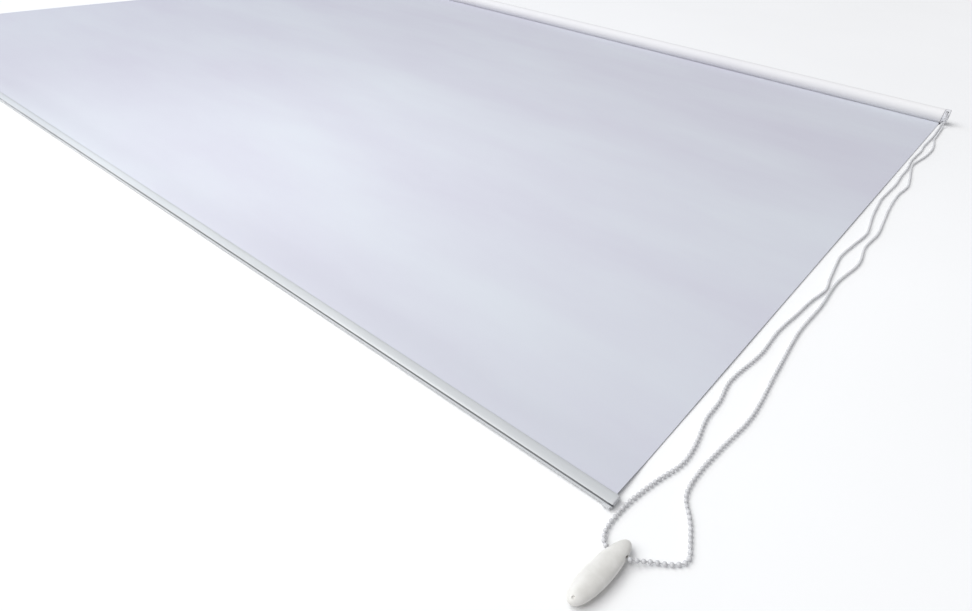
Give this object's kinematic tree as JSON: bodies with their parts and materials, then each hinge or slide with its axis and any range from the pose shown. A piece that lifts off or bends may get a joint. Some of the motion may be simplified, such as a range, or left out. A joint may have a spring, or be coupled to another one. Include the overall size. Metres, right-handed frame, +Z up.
{
  "type": "roller blind",
  "caption": "Chain-operated roller blind: fabric on an aluminium tube with a clutch drive, spring idle pin, flat oval bottom bar, and a bead chain loop with a weight.",
  "frame": {"origin": "bottom centre of the blind without its chain and weight, on the surface it lies on", "axes": "+X along the roller towards the chain end, +Y from the bottom bar to the roller, +Z up from the surface; lying on its back with the room side up"},
  "size_m": [2.1924, 1.6485, 0.0344],
  "materials": {
    "housing_plastic": "moulded, satin",
    "core_plastic": "moulded, fine grain",
    "spring_steel": "drawn wire",
    "zinc_steel": "zinc plated",
    "tube_aluminium": "extruded",
    "tape_film": "adhesive film",
    "blind_fabric": "coated plain weave",
    "wheel_plastic": "moulded acetal",
    "bead_plastic": "moulded beads on a cord",
    "bar_lacquer": "satin powder coat on extruded aluminium",
    "cap_plastic": "moulded, satin",
    "spline_plastic": "extruded rod",
    "weight_plastic": "moulded, satin"
  },
  "bodies": {
    "control_unit": {"control_housing": "housing_plastic", "housing_cover": "housing_plastic", "control_core": "core_plastic", "brake_springs": "spring_steel", "core_washer": "zinc_steel", "core_screw": "zinc_steel", "fabric_sheet": "blind_fabric", "chain_strand_inner": "bead_plastic", "chain_strand_outer": "bead_plastic", "weight_upper_shell": "weight_plastic", "weight_lower_shell": "weight_plastic", "weight_ballast": "zinc_steel", "weight_screw": "zinc_steel"},
    "roller": {"roller_tube": "tube_aluminium", "fabric_tape": "tape_film", "fabric_roll": "blind_fabric", "drive_adapter": "core_plastic", "idle_plug": "housing_plastic"},
    "chain_wheel": {"chain_wheel": "wheel_plastic", "chain_on_wheel": "bead_plastic"},
    "idle_bearing": {"idle_bearing": "wheel_plastic", "idle_circlip": "spring_steel", "spring_seat": "zinc_steel", "idle_spring": "spring_steel"},
    "idle_pin": {"idle_pin": "zinc_steel"},
    "bottom_bar": {"bar_profile": "bar_lacquer", "bar_end_cap_right": "cap_plastic", "bar_end_cap_left": "cap_plastic", "fabric_spline": "spline_plastic"}
  },
  "joints": [
    {"name": "roller_turn", "type": "hinge", "parent": "control_unit", "child": "roller", "pos_m": [0, 0.7579, 0.0172], "axis": [1, 0, 0], "range_deg": [0, 5040]},
    {"name": "chain_wheel_turn", "type": "hinge", "parent": "control_unit", "child": "chain_wheel", "pos_m": [1.0565, 0.7579, 0.0172], "axis": [1, 0, 0], "range_deg": [0, 5040]},
    {"name": "bar_lift", "type": "slide", "parent": "control_unit", "child": "bottom_bar", "axis": [0, 1, 0], "range_m": [0, 1.4691], "deforming": ["fabric_sheet"]},
    {"name": "idle_bearing_turn", "type": "hinge", "parent": "roller", "child": "idle_bearing", "pos_m": [-1.05, 0.7579, 0.0172], "axis": [1, 0, 0], "continuous": true},
    {"name": "idle_pin_slide", "type": "slide", "parent": "idle_bearing", "child": "idle_pin", "axis": [1, 0, 0], "range_m": [0, 0.009], "stiffness_N_per_m": 400, "springref_m": -0.01, "deforming": ["idle_spring"]}
  ],
  "couplings": [
    {"joint": "chain_wheel_turn", "follows": "roller_turn", "ratio": 1},
    {"joint": "bar_lift", "follows": "roller_turn", "m_per_rad": 0.0167}
  ]
}
